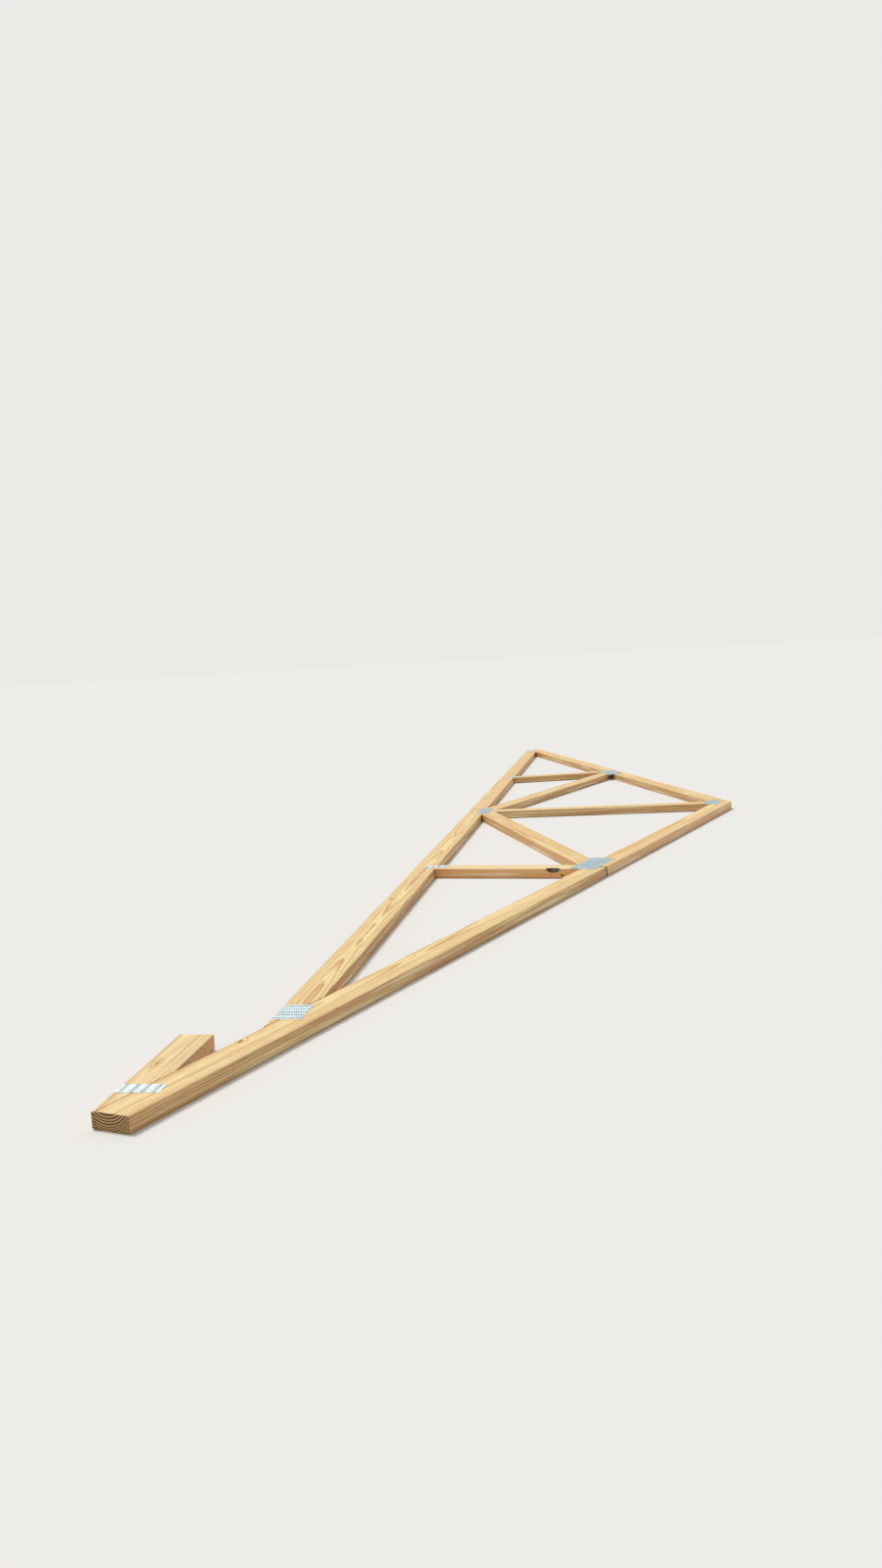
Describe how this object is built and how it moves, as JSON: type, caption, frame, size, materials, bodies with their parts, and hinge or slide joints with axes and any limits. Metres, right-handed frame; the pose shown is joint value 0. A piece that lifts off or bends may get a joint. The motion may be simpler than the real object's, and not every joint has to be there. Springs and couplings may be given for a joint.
{
  "type": "wooden roof truss",
  "caption": "Gable roof truss of planed softwood with a king post, upright and diagonal webs, an eave tail with a level soffit return, and pressed nail plates.",
  "frame": {"origin": "middle of the outline, on the floor that the truss lies on", "axes": "+X along the bottom chord towards the eave tail, +Y up the truss to the ridge, +Z through its thickness"},
  "size_m": [8.5248, 1.6139, 0.0401],
  "materials": {
    "sawn_pine": "planed softwood, unfinished",
    "galvanised_steel": "galvanised, punched"
  },
  "bodies": {
    "root": {"top_chord_tail": "sawn_pine", "top_chord_ridge": "sawn_pine", "top_chord_far": "sawn_pine", "bottom_chord_near": "sawn_pine", "bottom_chord_far": "sawn_pine", "king_post": "sawn_pine", "upright_web_near": "sawn_pine", "upright_web_far": "sawn_pine", "diagonal_web_near": "sawn_pine", "diagonal_web_far": "sawn_pine", "soffit_return": "sawn_pine", "tail_plate_under": "galvanised_steel", "tail_plate_top": "galvanised_steel", "near_heel_plate_under": "galvanised_steel", "near_heel_plate_top": "galvanised_steel", "near_panel_plate_under": "galvanised_steel", "near_panel_plate_top": "galvanised_steel", "near_foot_plate_under": "galvanised_steel", "near_foot_plate_top": "galvanised_steel", "ridge_plate_under": "galvanised_steel", "ridge_plate_top": "galvanised_steel", "center_plate_under": "galvanised_steel", "center_plate_top": "galvanised_steel", "far_heel_plate_under": "galvanised_steel", "far_heel_plate_top": "galvanised_steel", "far_panel_plate_under": "galvanised_steel", "far_panel_plate_top": "galvanised_steel", "far_foot_plate_under": "galvanised_steel", "far_foot_plate_top": "galvanised_steel"}
  },
  "joints": []
}
